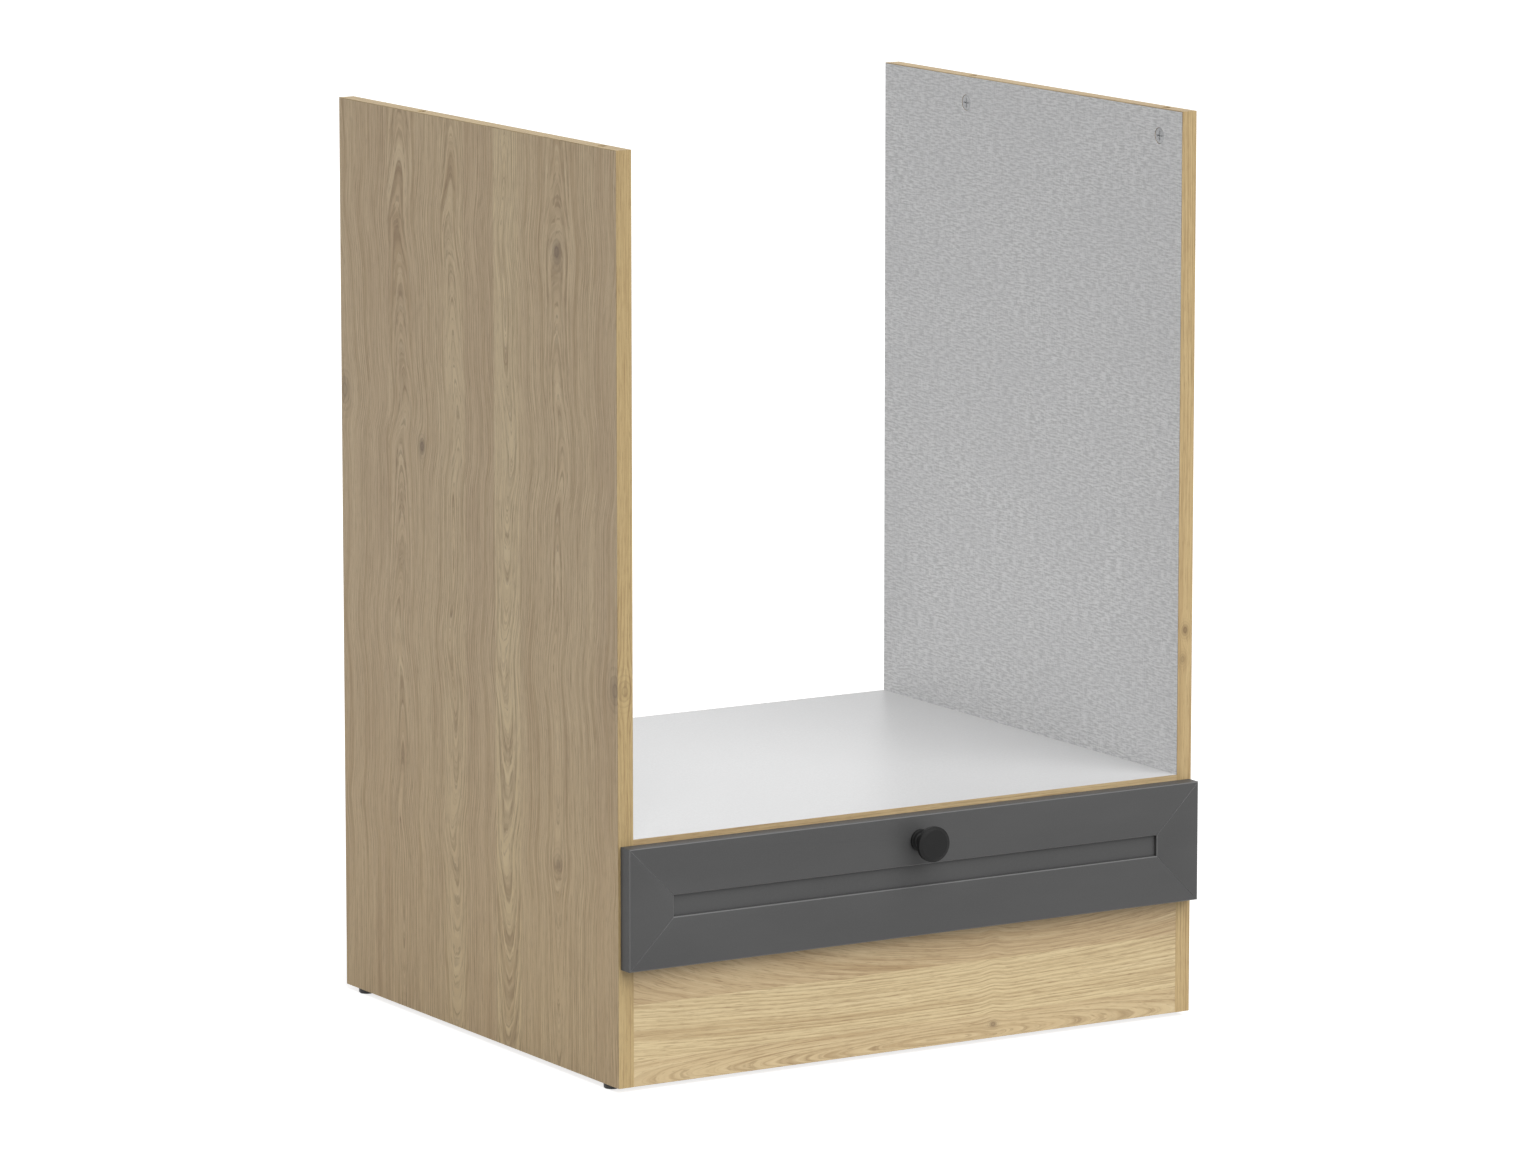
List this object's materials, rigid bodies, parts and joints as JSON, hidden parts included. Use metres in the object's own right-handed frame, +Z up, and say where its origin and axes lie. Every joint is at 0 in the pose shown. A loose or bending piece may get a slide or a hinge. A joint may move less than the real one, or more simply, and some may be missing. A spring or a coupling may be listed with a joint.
{
  "type": "built-in oven base unit",
  "caption": "Base unit for a built-in oven: open housing between two tall sides over a shallow framed drawer on roller runners and a plinth.",
  "frame": {"origin": "on the floor, under the middle of the outline with the knob included", "axes": "+X to the right seen from the front, the drawer opens towards -Y, +Z up"},
  "size_m": [0.6, 0.5386, 0.8265],
  "materials": {
    "side_board": "oak decor outside, white melamine inside, chipboard core",
    "oak_edging": "oak-look edging",
    "plinth_board": "oak decor on chipboard",
    "white_board": "white melamine on chipboard",
    "hardboard": "white-faced hardboard",
    "front_lacquer": "matt dark grey lacquer film",
    "knob_metal": "matt black",
    "runner_steel": "white epoxy-coated steel",
    "roller_plastic": "smooth white nylon",
    "cam_zinc": "cast zinc",
    "screw_steel": "zinc-plated steel",
    "dowel_beech": "beech",
    "glide_plastic": "black plastic"
  },
  "bodies": {
    "carcass": {"left_side_panel": "side_board", "right_side_panel": "side_board", "left_side_edging": "oak_edging", "right_side_edging": "oak_edging", "oven_shelf": "white_board", "oven_shelf_edging": "oak_edging", "bottom_panel": "white_board", "bottom_panel_edging": "oak_edging", "plinth_board": "plinth_board", "back_panel": "hardboard", "glides": "glide_plastic", "carcass_dowels": "dowel_beech", "worktop_cams": "cam_zinc", "left_cabinet_runner": "runner_steel", "right_cabinet_runner": "runner_steel", "cabinet_runner_screws": "screw_steel", "cabinet_roller_rivets": "screw_steel"},
    "drawer": {"front_top_rail": "front_lacquer", "front_bottom_rail": "front_lacquer", "front_left_stile": "front_lacquer", "front_right_stile": "front_lacquer", "front_panel": "front_lacquer", "drawer_knob": "knob_metal", "knob_screw": "screw_steel", "drawer_left_side": "white_board", "drawer_right_side": "white_board", "drawer_back": "white_board", "drawer_bottom": "hardboard", "left_drawer_runner": "runner_steel", "right_drawer_runner": "runner_steel", "drawer_runner_screws": "screw_steel", "drawer_roller_rivets": "screw_steel", "drawer_cams": "cam_zinc", "drawer_cam_bolts": "screw_steel", "drawer_dowels": "dowel_beech"},
    "front_left_roller": {"front_left_roller": "roller_plastic"},
    "front_right_roller": {"front_right_roller": "roller_plastic"},
    "rear_left_roller": {"rear_left_roller": "roller_plastic"},
    "rear_right_roller": {"rear_right_roller": "roller_plastic"}
  },
  "joints": [
    {"name": "drawer_slide", "type": "slide", "parent": "carcass", "child": "drawer", "axis": [0, -1, 0], "range_m": [0, 0.34]},
    {"name": "front_left_roller_turn", "type": "hinge", "parent": "carcass", "child": "front_left_roller", "pos_m": [-0.28, -0.21475, 0.1464], "axis": [1, 0, 0], "range_deg": [0, 2170]},
    {"name": "front_right_roller_turn", "type": "hinge", "parent": "carcass", "child": "front_right_roller", "pos_m": [0.28, -0.21475, 0.1464], "axis": [1, 0, 0], "range_deg": [0, 2170]},
    {"name": "rear_left_roller_turn", "type": "hinge", "parent": "drawer", "child": "rear_left_roller", "pos_m": [-0.2775, 0.20975, 0.144], "axis": [1, 0, 0], "range_deg": [0, 2170]},
    {"name": "rear_right_roller_turn", "type": "hinge", "parent": "drawer", "child": "rear_right_roller", "pos_m": [0.2775, 0.20975, 0.144], "axis": [1, 0, 0], "range_deg": [0, 2170]}
  ],
  "couplings": [
    {"joint": "front_left_roller_turn", "follows": "drawer_slide", "rad_per_m": 111.11},
    {"joint": "front_right_roller_turn", "follows": "drawer_slide", "rad_per_m": 111.11},
    {"joint": "rear_left_roller_turn", "follows": "drawer_slide", "rad_per_m": 111.11},
    {"joint": "rear_right_roller_turn", "follows": "drawer_slide", "rad_per_m": 111.11}
  ]
}
